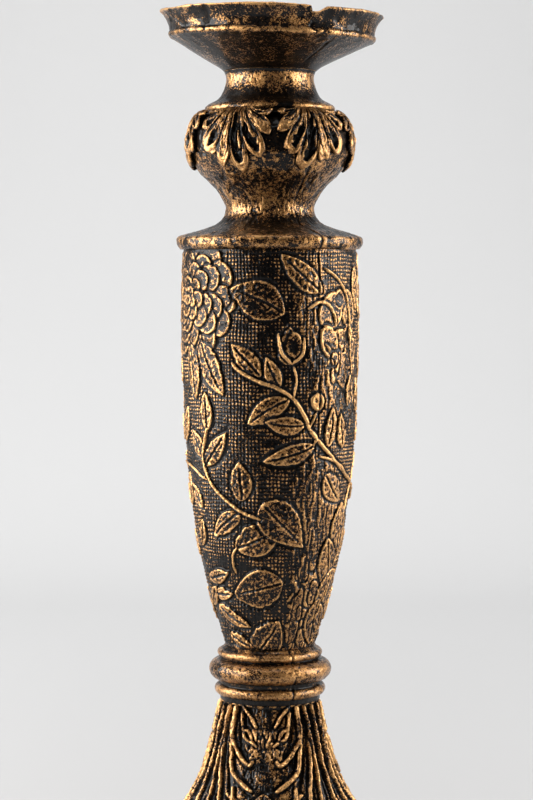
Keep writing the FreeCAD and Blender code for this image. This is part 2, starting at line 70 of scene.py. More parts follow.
class Probe:
    """Measures a CAD node with rays: outer radius and bore at a height, top at a radius, in millimetres."""

    def __init__(self, node):
        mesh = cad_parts[node].data
        faces = [p.vertices[:] for p in mesh.polygons]
        self.tree = BVHTree.FromPolygons([v.co for v in mesh.vertices], faces)
        low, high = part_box(node)
        self.low, self.high = low.z / MM, high.z / MM

    def radius(self, z):
        hit = self.tree.ray_cast(Vector((BESIDE, OFF_SEAM, z * MM)), Vector((-1, 0, 0)))[0]
        return hit.x / MM if hit else 0.0

    def hole(self, z, azimuth=90.0):
        a = math.radians(azimuth)
        hit = self.tree.ray_cast(Vector((0, 0, z * MM)), Vector((math.sin(a), -math.cos(a), 0)))[0]
        return math.hypot(hit.x, hit.y) / MM

    def top(self, r):
        hit = self.tree.ray_cast(Vector((r * MM, OFF_SEAM, ABOVE)), Vector((0, 0, -1)))[0]
        return hit.z / MM if hit else self.low

    def side(self, z0, z1):
        heights = np.linspace(z0, z1, max(2, int((z1 - z0) / PROBE_STEP)))
        return np.array([(self.radius(z), z) for z in heights])

    def crown(self, r0, r1):
        radii = np.linspace(r0, r1, max(2, int(abs(r0 - r1) / PROBE_STEP)))
        return np.array([(r, self.top(r)) for r in radii])


def run_along(points):
    """How far along a line each of its points is."""
    return np.append(0, np.cumsum(np.hypot(*np.diff(points, axis=0).T)))


def directions(points):
    """Unit vectors along a line at each of its points."""
    slope = np.gradient(points, axis=0)
    return slope / np.maximum(np.hypot(*slope.T), 1e-9)[:, None]


def resampled(points, pitch):
    """The same line with points a pitch apart."""
    run = run_along(points)
    at = np.linspace(0, run[-1], max(2, int(round(run[-1] / pitch)) + 1))
    return np.column_stack([np.interp(at, run, points[:, 0]), np.interp(at, run, points[:, 1])])


# ---- Small mathematics ----


def smooth(x, low=0.0, high=1.0):
    t = np.clip((x - low) / (high - low), 0, 1)
    return t * t * (3 - 2 * t)


def hump(x, start, top, end, low):
    """Rises from start to top and falls from end to low."""
    return smooth(x, start, top) * (1 - smooth(x, end, low))


def bell(x, width):
    return np.exp(-((x / width) ** 2))


def wrapped(degrees):
    return (degrees + 180) % 360 - 180


def blurred(values, radius, mode="edge"):
    """Three box blurs down the rows, close to a Gaussian. The rows stop at their ends or wrap round."""
    radius = max(1, int(round(radius)))
    width = 2 * radius + 1
    for _ in range(3):
        total = np.cumsum(np.pad(values, ((radius, radius), (0, 0)), mode=mode), axis=0)
        total = np.vstack([0 * total[:1], total])
        values = (total[width:] - total[:-width]) / width
    return values


def lattice(u, v, around, seed):
    """Value noise from -1 to 1 over cells u, which repeat after a whole number around, and v."""
    rng = np.random.default_rng(seed)
    rows = int(np.ceil(v.max())) + 3
    grid = rng.uniform(-1, 1, (rows, around))
    u0, v0 = np.floor(u).astype(int), np.floor(v).astype(int)
    fu, fv = u - u0, v - v0
    fu, fv = fu * fu * (3 - 2 * fu), fv * fv * (3 - 2 * fv)
    u1, u0 = (u0 + 1) % around, u0 % around
    v0 = np.clip(v0, 0, rows - 2)
    low = grid[v0, u0] * (1 - fu) + grid[v0, u1] * fu
    high = grid[v0 + 1, u0] * (1 - fu) + grid[v0 + 1, u1] * fu
    return low * (1 - fv) + high * fv


# ---- Carving ----

STROKE_STEP = 0.35  # from one stamp of a stroke to the next, mm
LEAF_LEVEL = 0.85  # how high a leaf stands above the ground, mm
WEAR_REACH = 1.5  # how far round a point its surroundings reach, mm
SECTION_REACH = 2.0  # the same along the smooth section, mm
BOX_SHARE = 1.7  # a reach divided by the radius of its three box blurs


def closed_grid(rows, columns):
    """Quads of a grid that closes on itself both ways, and the (column, row) of each quad's corners."""
    i, j = np.meshgrid(np.arange(rows), np.arange(columns), indexing="ij")
    i1, j1 = (i + 1) % rows, (j + 1) % columns
    quads = np.stack([i * columns + j, i * columns + j1, i1 * columns + j1, i1 * columns + j], -1)
    corners = np.stack([j, i, j + 1, i, j + 1, i + 1, j, i + 1], -1)
    return quads.reshape(-1, 4), corners.reshape(-1, 2)


class Casting:
    """Rows along a closed half-section and columns round the stem, with a height map on its skin."""

    def __init__(self, skin, columns, bore=BORE):
        """skin is the seen part of the section, from the bottom outwards and up; bore closes it inside."""
        self.section = np.vstack([[(bore, skin[0, 1])], skin, [(bore, skin[-1, 1])]])
        self.skin = slice(1, len(self.section) - 1)
        self.columns = columns
        self.azimuth = np.arange(columns) * 360.0 / columns
        self.r, self.z = self.section[self.skin].T
        self.run = run_along(self.section[self.skin])
        slope = directions(self.section[self.skin])
        self.normal = np.column_stack([slope[:, 1], -slope[:, 0]])
        self.h = np.zeros((len(self.r), columns))
        self.stipple = self.rough(1.0, 7, 2)
        self.patchy = self.noise(3.5, 9)
        self.ragged = 0.26 * self.noise(2.6, 10) + 0.16 * self.noise(1.3, 12)
        # Set by some castings: how far the skin is raised, its least radius, and its shift to the right
        self.drop = np.zeros_like(self.h)
        self.least = np.zeros_like(self.h)
        self.shift = np.zeros((len(self.r), 1))

    def away(self, azimuth):
        """Degrees from an azimuth, as one row."""
        return wrapped(self.azimuth - azimuth)[None, :]

    def across(self, azimuth):
        """Millimetres round the skin from an azimuth."""
        return np.radians(self.away(azimuth)) * self.r[:, None]

    def noise(self, size, seed, stretch=1.0):
        """Value noise whose cells are size millimetres wide, and stretch times as long along the section."""
        around = max(8, int(round(2 * math.pi * self.r.max() / size)))
        u = np.broadcast_to(self.azimuth[None, :] * around / 360, self.h.shape)
        v = np.broadcast_to((self.run / (size * stretch))[:, None], self.h.shape)
        return lattice(u, v, around, seed)

    def rough(self, size, seed, octaves=3, stretch=1.0):
        return sum(self.noise(size / 2 ** i, seed + i, stretch) * 0.5 ** i for i in range(octaves))

    def window(self, azimuth, height, reach):
        """Rows and columns within reach of a place, and their distances from it to the right and upwards."""
        rows = np.where(np.abs(self.z - height) <= reach)[0]
        away = wrapped(self.azimuth - azimuth)
        span = math.degrees(reach / max(self.r[rows].min(initial=self.r.max()), 1))
        cols = np.where(np.abs(away) <= span)[0]
        x = np.radians(away[cols])[None, :] * self.r[rows][:, None]
        y = np.broadcast_to((self.z[rows] - height)[:, None], x.shape)
        return np.ix_(rows, cols), x, y

    def lay(self, at, inside, height, moat, edge, depth):
        """Puts a shape over what is there, with a narrow cut round its outline."""
        under = self.h[at]
        under = under - depth * bell(edge + moat * 0.55, moat * 0.6) * (edge < 0.2)
        self.h[at] = under * (1 - inside) + height * inside

    def leaf(self, azimuth, height, length, width, heading, bend=0.0, blunt=0.85, rim=0.28, vein=0.75):
        """A leaf that starts at a place and points along heading, which is 0 upwards and 90 to the right."""
        at, x, y = self.window(azimuth, height, length + 3)
        across, along = turned(x, y, heading)
        t = along / length
        inner = np.clip(t, 0, 1)
        across = across - bend * length * inner * (1 - inner) + 0.8 * self.ragged[at]
        half = width / 2 * np.sin(np.pi * inner ** blunt) ** 0.8
        ends = np.minimum(t, 1 - t) * length
        edge = np.where((t > 0) & (t < 1), half - np.abs(across), np.minimum(ends, 0) - np.abs(across))
        edge = edge + self.ragged[at]
        inside = smooth(edge, -0.1, 0.35)
        body = LEAF_LEVEL * (0.66 + 0.22 * smooth(edge, 0, width / 3)) + 0.20 * self.stipple[at]
        body += rim * bell(edge - 0.5, 0.36) * (0.65 + 0.8 * self.patchy[at])
        body -= vein * bell(across, 0.45) * hump(t, 0.0, 0.1, 0.75, 0.95)
        body += 0.6 * rim * bell(np.abs(across) - 0.9, 0.35) * (1 - smooth(t, 0.7, 0.95))
        side_veins = np.sin((inner * length - 0.9 * np.abs(across)) * 2 * np.pi / 3.4)
        body += 0.05 * side_veins * smooth(edge, 0.6, 1.6)
        self.lay(at, inside, body, 1.3, edge, 0.6)

    def petal(self, azimuth, height, wide, tall, heading, level, rim=0.3, dish=0.0, depth=0.55):
        """A rounded scale, wide and tall in radius, turned by heading, in a cut of a depth."""
        at, x, y = self.window(azimuth, height, max(wide, tall) + 2.5)
        u, v = turned(x, y, heading)
        u, v = u / wide, v / tall
        reach = np.sqrt(u * u + v * v)
        edge = (1 - reach) * min(wide, tall) + self.ragged[at]
        inside = smooth(edge, -0.1, 0.35)
        body = level + rim * bell(edge - 0.6, 0.55) * (0.7 + 0.5 * self.patchy[at])
        body += 0.12 * v + 0.15 * self.stipple[at] - dish * bell(reach, 0.6)
        self.lay(at, inside, body, 0.9, edge, depth)

    def stroke(self, places, width, level, moat=0.0, fade=1.0, crest=0.45):
        """A rib through the places, each (azimuth, height). crest is how round it is, fade how thin its ends
        are, and moat how deep the cuts beside it are. With a negative level it is a groove."""
        places = np.array(places, float)
        fine = np.linspace(0, len(places) - 1, 24 * (len(places) - 1) + 1)
        line = np.column_stack([eased(fine, values) for values in places.T])
        middle = np.interp(line[:, 1], self.z, self.r)
        move = np.hypot(np.radians(np.gradient(line[:, 0])) * middle, np.gradient(line[:, 1]))
        run = np.cumsum(move)
        stamps = np.where(np.diff(np.floor(run / STROKE_STEP)) > 0)[0] + 1
        total = run[-1]
        away = np.full(self.h.shape, 99.0)
        thick = np.ones(self.h.shape)
        for k in [0, *stamps, len(line) - 1]:
            at, x, y = self.window(line[k, 0], line[k, 1], width + 2.5)
            d = np.hypot(x, y)
            near = d < away[at]
            away[at] = np.where(near, d, away[at])
            ends = min(run[k], total - run[k])
            thick[at] = np.where(near, 1 - fade * (1 - min(1.0, ends / 4 + 0.45)), thick[at])
        half = width / 2 * thick * (1 + 0.45 * self.ragged)
        away = np.maximum(away + 0.5 * self.ragged * (away > 0.2), 0)
        body = np.sqrt(np.clip(1 - (away / half) ** 2, 0, 1))
        if moat:
            self.h -= moat * bell(away - half - 0.35, 0.5) * (away > half * 0.9)
        inside = smooth(half - away, -0.15, 0.3)
        if level >= 0:
            rib = level * (1 - crest + crest * body) + 0.2 * self.stipple + 0.12 * self.patchy
            self.h = self.h * (1 - inside) + rib * inside
        else:
            self.h += level * body * thick

    def closed(self, values, ends=(0, 0)):
        """The skin's values between those of the section's two hidden ends."""
        row = np.ones((1, self.columns))
        return np.vstack([row * ends[0], row * values, row * ends[1]])

    def positions(self):
        """Where each point of the closed section ends up, in millimetres."""
        radius = np.maximum(self.r[:, None] + self.h * self.normal[:, :1], self.least)
        height = self.z[:, None] + self.h * self.normal[:, 1:] + self.drop
        radius = self.closed(radius, self.section[[0, -1], 0])
        height = self.closed(height, self.section[[0, -1], 1])
        a = np.radians(self.azimuth)[None, :]
        return np.stack([radius * np.sin(a) + self.closed(self.shift), -radius * np.cos(a), height], axis=-1)

    def wear(self):
        """How far each point stands above its surroundings, in millimetres, with a share of the section's own
        bulge and of the whole height."""
        pitch = self.run[-1] / (len(self.run) - 1)
        column = 2 * math.pi * self.r.mean() / self.columns
        around = blurred(self.h, WEAR_REACH / pitch / BOX_SHARE)
        around = blurred(around.T, WEAR_REACH / column / BOX_SHARE, "wrap").T
        line = self.section[self.skin]
        bulge = ((line - blurred(line, SECTION_REACH / pitch / BOX_SHARE)) * self.normal).sum(1)
        return self.h - around + 0.5 * bulge[:, None] + 0.12 * self.h

    def piece(self, name, body, node, slot, material, tone=0.0):
        p = self.positions()
        rows, columns = p.shape[:2]
        quads, corners = closed_grid(rows, columns)
        wear, tone = self.closed(self.wear()), self.closed(tone + 0 * self.h)
        uv = corners / [columns, rows]
        return mesh_piece(name, p.reshape(-1, 3), quads, uv, wear, tone, body, [node], material)

    def gilded(self, name, node, part, tone, body=STEM, **paint):
        """The piece in antique gold and black. part names its material; the slot name built from it is not
        used.
        """
        self.piece(name, body, node, part + "_bronze", antique(part + "_gilding", **paint), tone)


def turned(x, y, heading):
    """The distances x and y seen from a heading: across it to the right, and along it."""
    c, s = math.cos(math.radians(heading)), math.sin(math.radians(heading))
    return x * c - y * s, x * s + y * c


def eased(at, values):
    """A Catmull-Rom curve through three or more values, one for each whole number."""
    padded = np.concatenate([[2 * values[0] - values[1]], values, [2 * values[-1] - values[-2]]])
    k = np.clip(np.floor(at).astype(int), 0, len(values) - 2)
    t = at - k
    a, b, c, d = (padded[k + i] for i in range(4))
    square, cube = 2 * a - 5 * b + 4 * c - d, 3 * b - a - 3 * c + d
    return 0.5 * (2 * b + (c - a) * t + square * t ** 2 + cube * t ** 3)


def linked(name, data):
    made = bpy.data.objects.new(name, data)
    bpy.context.scene.collection.objects.link(made)
    return made


def mesh_piece(name, points, quads, uv, wear, tone, body, nodes, material):
    """A closed mesh of quads from points in millimetres, riding on a body in place of its CAD nodes."""
    mesh = bpy.data.meshes.new(name)
    mesh.vertices.add(len(points))
    mesh.vertices.foreach_set("co", (points * MM).astype(np.float32).ravel())
    mesh.loops.add(quads.size)
    mesh.loops.foreach_set("vertex_index", quads.astype(np.int32).ravel())
    mesh.polygons.add(len(quads))
    mesh.polygons.foreach_set("loop_start", np.arange(0, quads.size, 4, dtype=np.int32))
    mesh.update(calc_edges=True)
    mesh.polygons.foreach_set("use_smooth", np.ones(len(quads), bool))
    mesh.uv_layers.new(name="OFBake").data.foreach_set("uv", uv.astype(np.float32).ravel())
    for label, values in (("wear", wear), ("tone", tone)):
        flat = values.astype(np.float32).ravel()
        mesh.attributes.new(label, "FLOAT", "POINT").data.foreach_set("value", flat)
    mesh.validate()
    obj = linked(name, mesh)
    mesh.materials.append(material)
    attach(obj, body)
    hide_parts(*nodes)
    return obj


# ---- Paint ----


class Paint:
    """A node material under construction."""

    def __init__(self, name):
        self.material = bpy.data.materials.new(name)
        self.material.use_nodes = True
        self.tree = self.material.node_tree
        self.shader = self.tree.nodes["Principled BSDF"]
        self.place = self.node("TexCoord").outputs["Object"]

    def node(self, kind, inputs=(), **settings):
        """A new node with its settings. Its inputs are fed by other nodes or set to values."""
        made = self.tree.nodes.new("ShaderNode" + kind)
        for key, value in settings.items():
            setattr(made, key, value)
        for key, value in dict(inputs).items():
            self.feed(made.inputs[key], value)
        return made

    def feed(self, socket, value):
        if hasattr(value, "is_linked"):
            self.tree.links.new(value, socket)
        else:
            socket.default_value = value

    def math(self, operation, a, b):
        return self.node("Math", {0: a, 1: b}, operation=operation).outputs[0]

    def noise(self, size, detail=3.0, roughness=0.55, stretch=(1, 1, 1)):
        """Fractal noise whose features are about size millimetres across."""
        place = self.place
        if stretch != (1, 1, 1):
            place = self.node("Mapping", {"Vector": place, "Scale": stretch}).outputs[0]
        inputs = {"Vector": place, "Scale": 1 / (size * MM), "Detail": detail, "Roughness": roughness}
        return self.node("TexNoise", inputs).outputs[0]

    def attribute(self, name):
        return self.node("Attribute", attribute_name=name).outputs["Fac"]

    def ramp(self, value, low, high, to_low=0.0, to_high=1.0):
        inputs = {"Value": value, "From Min": low, "From Max": high, "To Min": to_low, "To Max": to_high}
        return self.node("MapRange", inputs, interpolation_type="SMOOTHSTEP").outputs["Result"]

    def mix(self, share, a, b):
        return self.node("Mix", {"Factor": share, "A": a, "B": b}, data_type="RGBA").outputs["Result"]

    def bump(self, height, depth):
        """Bump from a height of 0 to 1 that stands for depth millimetres."""
        made = self.node("Bump", {"Height": height, "Distance": depth * MM, "Strength": 1.0})
        self.set(Normal=made.outputs["Normal"])

    def set(self, **values):
        for key, value in values.items():
            self.feed(self.shader.inputs[key.replace("_", " ")], value)
        return self.material


BLACK = (0.0012, 0.001, 0.0009, 1)
UMBER = (0.013, 0.0065, 0.0028, 1)
BRONZE = (0.30, 0.14, 0.046, 1)
GOLD = (0.76, 0.415, 0.155, 1)
GILT = (0.06, 0.28)  # levels of wear at which gold starts and at which it covers the lacquer
BRIGHT = (0.15, 1.2)  # levels between which it goes from thin bronze to bright gold
PITS = 0.6  # depth of the pitted grain, mm


def antique(name, rub=0.0, gain=2.6, speckle=2.1, blotch=0.5, umber=0.35):
    """Near-black lacquer, rubbed with gold where the wear is high, over a pitted grain that stays black.

    rub adds gold everywhere and gain weighs the wear. speckle, blotch and umber are how strong the fine
    grain, the broad patches and the brown in the black are.
    """
    p = Paint(name)
    wear, tone = p.attribute("wear"), p.attribute("tone")
    fine, grit, broad = p.noise(0.5, 1.5), p.noise(1.15, 2), p.noise(5.5, 3)
    pits = p.math("ADD", p.math("MULTIPLY", fine, 0.55), p.math("MULTIPLY", grit, 0.45))
    level = p.math("MULTIPLY", wear, gain)
    for noise, strength in ((pits, speckle), (broad, blotch)):
        level = p.math("ADD", level, p.math("MULTIPLY", p.math("SUBTRACT", noise, 0.5), strength * 2))
    level = p.math("ADD", p.math("ADD", level, tone), rub)
    gilt, bright = p.ramp(level, *GILT), p.ramp(level, *BRIGHT)
    ground = p.mix(p.ramp(grit, 0.42, 0.66, 0, umber), BLACK, UMBER)
    p.set(Base_Color=p.mix(gilt, ground, p.mix(bright, BRONZE, GOLD)),
          Metallic=p.math("MULTIPLY", gilt, 0.9),
          Roughness=p.math("ADD", p.ramp(gilt, 0, 1, 0.34, 0.23), p.math("MULTIPLY", fine, 0.12)))
    p.set(Specular_IOR_Level=0.05, Coat_Weight=0.38, Coat_Roughness=0.13)
    p.bump(p.math("ADD", p.math("MULTIPLY", pits, 0.8), p.math("MULTIPLY", gilt, 0.2)), PITS)
    return p.material


def worked(name, texture, clouds, tones, roughness, depth, metallic=0.0):
    """Two tones in clouds, under a fine texture that changes the roughness and stands depth millimetres."""
    p = Paint(name)
    fine = p.noise(*texture)
    p.set(Base_Color=p.mix(p.noise(*clouds), *tones), Metallic=metallic,
          Roughness=p.ramp(fine, 0.3, 0.7, *roughness))
    p.bump(fine, depth)
    return p.material


def zinc():
    scratches = (0.35, 3, 0.55, (1, 1, 0.15))
    tones = (0.52, 0.53, 0.55, 1), (0.72, 0.72, 0.70, 1)
    return worked("zinc_plate", scratches, (4.0, 3), tones, (0.24, 0.46), 0.02, 1.0)


def cast_iron():
    tones = (0.035, 0.034, 0.036, 1), (0.11, 0.09, 0.08, 1)
    return worked("rough_iron", (0.8, 5, 0.65), (6.0, 4), tones, (0.55, 0.85), 0.25, 0.6)


def black_enamel():
    tones = (0.012, 0.012, 0.013, 1), (0.03, 0.028, 0.026, 1)
    return worked("black_enamel", (1.6, 3), (12.0, 3), tones, (0.3, 0.45), 0.05)


def rubber():
    tones = (0.012, 0.012, 0.012, 1), (0.03, 0.03, 0.03, 1)
    return worked("gasket_rubber", (0.4, 4), (3.0, 3), tones, (0.6, 0.85), 0.04)


def dark_steel():
    p = Paint("bronzed_steel")
    turned_marks = p.noise(0.25, 2, stretch=(0.2, 0.2, 1))
    cloud = p.ramp(p.noise(2.5, 4), 0.35, 0.65)
    p.set(Base_Color=p.mix(cloud, (0.10, 0.07, 0.05, 1), (0.42, 0.33, 0.24, 1)), Metallic=0.95,
          Roughness=p.ramp(turned_marks, 0.3, 0.7, 0.28, 0.5))
    p.bump(turned_marks, 0.03)
    return p.material


def felt():
    p = Paint("green_felt")
    fibre = p.noise(0.5, 6, 0.75)
    tangle = p.math("MULTIPLY", p.math("ADD", fibre, p.noise(5.0, 4)), 0.5)
    p.set(Base_Color=p.mix(tangle, (0.010, 0.045, 0.022, 1), (0.045, 0.13, 0.065, 1)),
          Roughness=p.ramp(fibre, 0.3, 0.7, 0.85, 1.0), Sheen_Weight=0.35, Sheen_Roughness=0.5)
    p.bump(fibre, 0.3)
    return p.material


# ---- The shaft ----

LINEN_PITCH = 1.65  # from one thread of the linen to the next, mm

# Leaves of the shaft: azimuth and height of the stalk end, length, width, heading, bend
SHAFT_LEAVES = [
    (9, 264, 27, 17, -66, 0.17), (35, 273, 26, 11, -48, -0.10), (-6, 236, 20, 9.5, -44, 0.08),
    (6, 231, 15, 7.5, -24, -0.08), (12, 226, 22, 10, -122, 0.16), (23, 214, 18, 8.5, -84, -0.2),
    (31, 205, 25, 9, -106, -0.14), (42, 204, 18, 7.5, 7, 0.14), (57, 203, 16, 6.5, -8, -0.1),
    (-46, 211, 18, 7.5, -3, 0.08), (-49, 199, 16, 8, -38, -0.1), (-50, 195, 21, 8.5, 40, 0.1),
    (-20, 180, 18, 10.5, -3, 0.05), (-22, 175, 19, 9, -128, 0.14), (-27.5, 158.5, 24, 14.5, 66, 0.12),
    (-58, 176, 14, 6.5, -40, 0.1), (-78, 205, 18, 7, 20, 0.1), (11, 143, 23.5, 18, -105, -0.05),
    (-66, 143, 16, 7, 76, 0.14), (-62, 136.5, 13, 6, 88, 0.12), (-60, 131, 19, 7, 120, 0.14),
    (-52, 118, 13, 6, 118, 0.12), (-66, 158, 13, 6, 15, 0.1), (-20, 108, 21, 14, 38, 0.08),
    (41, 191.5, 17, 11, 140, 0.1), (80, 218, 17, 7, -10, 0.1), (86, 238, 16, 7, 15, -0.1),
    (-84, 232, 16, 7, -20, 0.1), (62, 222, 15, 7, 8, 0.1), (86, 205, 14, 7, 20, 0.1),
    (-80, 176, 16, 7, 12, 0.1), (66, 118, 14, 8, -15, 0.1), (86, 122, 16, 8, 10, 0.1),
    (-74, 130, 13, 6, 40, 0.1), (-80, 152, 14, 6, -25, 0.1),
]
# Stems of the shaft: width, height above the ground, and the places each runs through
SHAFT_STEMS = [
    (1.9, 1.25, [(-25, 242), (-20, 238.5), (-8, 234), (4, 231), (15, 226), (23, 218), (27, 212), (35, 206),
                 (45, 200), (59, 193), (84, 184), (93, 178)]),
    (1.7, 1.15, [(-46, 212), (-51, 201), (-50, 194), (-43, 186), (-32, 180), (-20, 175), (-7, 172)]),
    (1.4, 1.0, [(-87, 196), (-68, 194), (-50, 189)]),
    (1.3, 1.0, [(38, 284), (50, 279), (58, 272), (62, 262), (63, 250), (66, 236)]),
    (1.3, 0.95, [(27, 212), (32, 209), (30, 205)]),
    (1.3, 0.95, [(-26, 159), (-30.5, 155.5), (-31, 151), (-29.5, 147)]),
    (1.4, 1.0, [(35, 200), (46, 198), (58, 194.5), (67, 189)]),
    (1.2, 0.9, [(15, 241), (17, 234), (15, 226)]),
    (1.2, 0.9, [(32, 220), (28, 215), (26, 212)]),
    (1.3, 0.9, [(88, 200), (80, 190), (72, 178), (66, 168)]),
]
# Where the linen is rubbed away in streaks: azimuth, half width, height, half height
WORN = [(27, 11, 180, 34), (29, 13, 262, 28), (43, 16, 236, 24), (66, 14, 232, 24), (45, 12, 180, 20),
        (32, 12, 142, 26)]
# Soft leaves and scales of the worn side: azimuth, height, length, width, heading; then wide and tall
WORN_LEAVES = [(64, 178, 28, 13, 176), (50, 162, 30, 13, 162), (66, 148, 26, 12, 190), (52, 134, 22, 11, 176)]
WORN_SCALES = [(60, 266, 6, 9, -15), (43, 265, 7, 9, 25), (52, 250, 8, 7, 10), (63, 246, 5, 8, 20),
               (41, 251, 5, 8, -20)]
# Rings of the rose: distance from its heart, number of petals, radius of a petal
ROSE_RINGS = [(20.5, 13, 7.2), (15.5, 10, 6.2), (10.6, 8, 5.2), (6.2, 6, 3.9), (2.6, 3, 2.6)]


def linen(c):
    """A plain weave: rounded threads over and under each other, softer and more uneven in places."""
    x = c.across(0) / LINEN_PITCH + 0.22 * c.noise(9, 11) + 0.14 * c.noise(3.2, 16)
    y = (c.z / LINEN_PITCH)[:, None] + 0.22 * c.noise(9, 12) + 0.14 * c.noise(3.2, 17)
    over = (np.floor(x) + np.floor(y)) % 2
    across, along = np.abs(np.sin(np.pi * x)), np.abs(np.sin(np.pi * y))
    warp = across * (0.22 + 0.78 * along)
    weft = along * (0.22 + 0.78 * across)
    depth = 0.68 * (0.70 + 0.5 * c.noise(3.4, 13) + 0.42 * c.noise(13, 15))
    return depth * np.where(over > 0, warp, weft) - 0.25


def rose(c, azimuth, height):
    """Overlapping scales in rings, the innermost on top."""
    for k, (distance, count, radius) in enumerate(ROSE_RINGS):
        for i in range(count):
            a = 10 + 360 / count * (i + 0.5 * (k % 2)) + 7 * math.sin(3.1 * i + k)
            dx, dy = distance * math.sin(math.radians(a)), distance * math.cos(math.radians(a))
            turn = math.degrees(dx / np.interp(height + dy, c.z, c.r))
            c.petal(azimuth + turn, height + dy, radius, radius * 1.08, a, 0.62 + 0.13 * k, rim=0.25)


def crumble(c, azimuth, height, wide, tall, seed):
    """A patch where the relief has run together into cells with dark cracks between them."""
    place = np.hypot(c.across(azimuth) / wide, (c.z[:, None] - height) / tall) + 0.35 * c.noise(5, seed)
    inside = 1 - smooth(place, 0.75, 0.95)
    cells = smooth(np.abs(c.noise(4.2, seed + 1, stretch=1.5)), 0.03, 0.22)
    cells = cells * smooth(np.abs(c.noise(6.5, seed + 2, stretch=1.3)), 0.02, 0.14)
    c.h = c.h * (1 - inside) + inside * (0.75 * cells - 0.1 + 0.14 * c.patchy + 0.12 * c.stipple)


def bud(c, azimuth, height):
    """A closed bud: two sepals that clasp a rounded heart from below."""
    c.leaf(azimuth, height, 17, 12, -3, blunt=0.62)
    c.petal(azimuth + 1.5, height + 9, 3.6, 6.0, 0, 0.7, rim=0.25, dish=0.35)
    for middle, tip in (((-7, 6), (-9, 14)), ((7, 5), (8, 12))):
        places = [(azimuth + a, height + up) for a, up in ((0, 0.5), middle, tip)]
        c.stroke(places, 1.5, 1.3, moat=0.3)


def worn_side(c, side):
    """The right of each half, where the linen is rubbed to streaks and the relief has run together."""
    for azimuth, height, tall, seed in ((33, 131, 24, 310), (58, 130, 34, 314)):
        crumble(c, side + azimuth, height, 10, tall, seed + side)
    for azimuth, height, length, width, heading in WORN_LEAVES:
        c.leaf(side + azimuth, height, length, width, heading, bend=0.12, rim=0.4, vein=0.5)
    for azimuth, height, wide, tall, heading in WORN_SCALES:
        c.petal(side + azimuth, height, wide, tall, heading, 0.7, rim=0.35, dish=0.25)
    for azimuth, height, wide, tall in ((51, 270, 4.0, 4.6), (61, 254, 3.6, 5.4)):
        c.petal(side + azimuth, height, wide, tall, 0, -0.1, rim=0.9, dish=0.2)
    c.stroke([(side + 25, 266), (side + 34, 269), (side + 43, 266), (side + 47, 258)], 1.7, 1.2, moat=0.4)
    c.stroke([(side + 38, 250), (side + 46, 245), (side + 56, 246)], 1.5, 1.1, moat=0.4)
    crumble(c, side + 50, 238, 8, 11, 330 + side)


def shaft():
    probe = Probe("relief_shaft")
    line = resampled(probe.side(probe.low + 0.02, probe.high - 0.02), GRID)
    c = Casting(line, int(round(2 * math.pi * line[:, 0].max() / GRID)))
    c.h = linen(c)
    streak = c.rough(1.1, 21, 3, stretch=5)
    for side in SIDES:
        worn = 0
        for azimuth, half, height, tall in WORN:
            place = np.hypot(c.away(side + azimuth) / half, (c.z[:, None] - height) / tall)
            worn = np.maximum(worn, 1 - smooth(place + 0.45 * c.noise(6, 23), 0.5, 1.2))
        c.h = c.h * (1 - 0.65 * worn) + worn * (0.38 + 0.36 * streak)
        rose(c, side - 62, 271)
        c.leaf(side - 50, 251, 27, 12, 152, bend=0.06)
        c.leaf(side - 62, 250, 25, 10, 172, bend=-0.05)
        c.leaf(side + 72, 285, 20, 8, 175, bend=0.05)
        worn_side(c, side)
        for azimuth, height, length, width, heading, bend in SHAFT_LEAVES:
            c.leaf(side + azimuth, height, length, width, heading, bend=bend)
        bud(c, side + 14, 241)
        c.leaf(side - 5.5, 179, 27, 18, 138, blunt=0.7, bend=-0.05)
        for width, level, places in SHAFT_STEMS:
            c.stroke([(side + a, z) for a, z in places], width, level, moat=0.45)
        c.petal(side + 32, 224.5, 3.4, 4.2, 0, 1.1, rim=0.1)
        seam_line(c, side + SEAM, 0.45)
    c.h += 0.10 * c.rough(0.9, 31, 2)
    ends = hump(c.z, c.z[0] + 0.3, c.z[0] + 2.5, c.z[-1] - 2.6, c.z[-1] - 0.4)
    c.h = (np.clip(c.h, -0.6, 1.8) - 0.35) * (0.15 + 0.85 * ends)[:, None]
    # More gold in a band on the right of each half; on the front half it is also a painted highlight where
    # the right lamp falls
    right = bell(wrapped(2 * (c.azimuth - 46)) / 2, 20)[None, :]
    tone = -0.26 + 0.2 * c.noise(22, 41) + 0.25 * right
    c.gilded("shaft_relief", "relief_shaft", "shaft", tone)


def seam_line(c, azimuth, depth):
    """The mould's parting line: a fine ragged crack with a slightly raised lip."""
    x = c.across(azimuth) + 0.5 * c.noise(6, 51)[:, :1]
    broken = smooth(c.noise(11, 52)[:, :1] + 0.5, 0, 0.6)
    c.h += broken * (-depth * 1.6 * bell(x, 0.5) + depth * 0.2 * bell(x - 1.3, 0.6))


def seam_lines(c, azimuth, depth):
    """The same on both sides of a turned casting, whose mould was set near the shaft's."""
    for side in SIDES:
        seam_line(c, side + azimuth, depth)


# ---- Turned castings ----


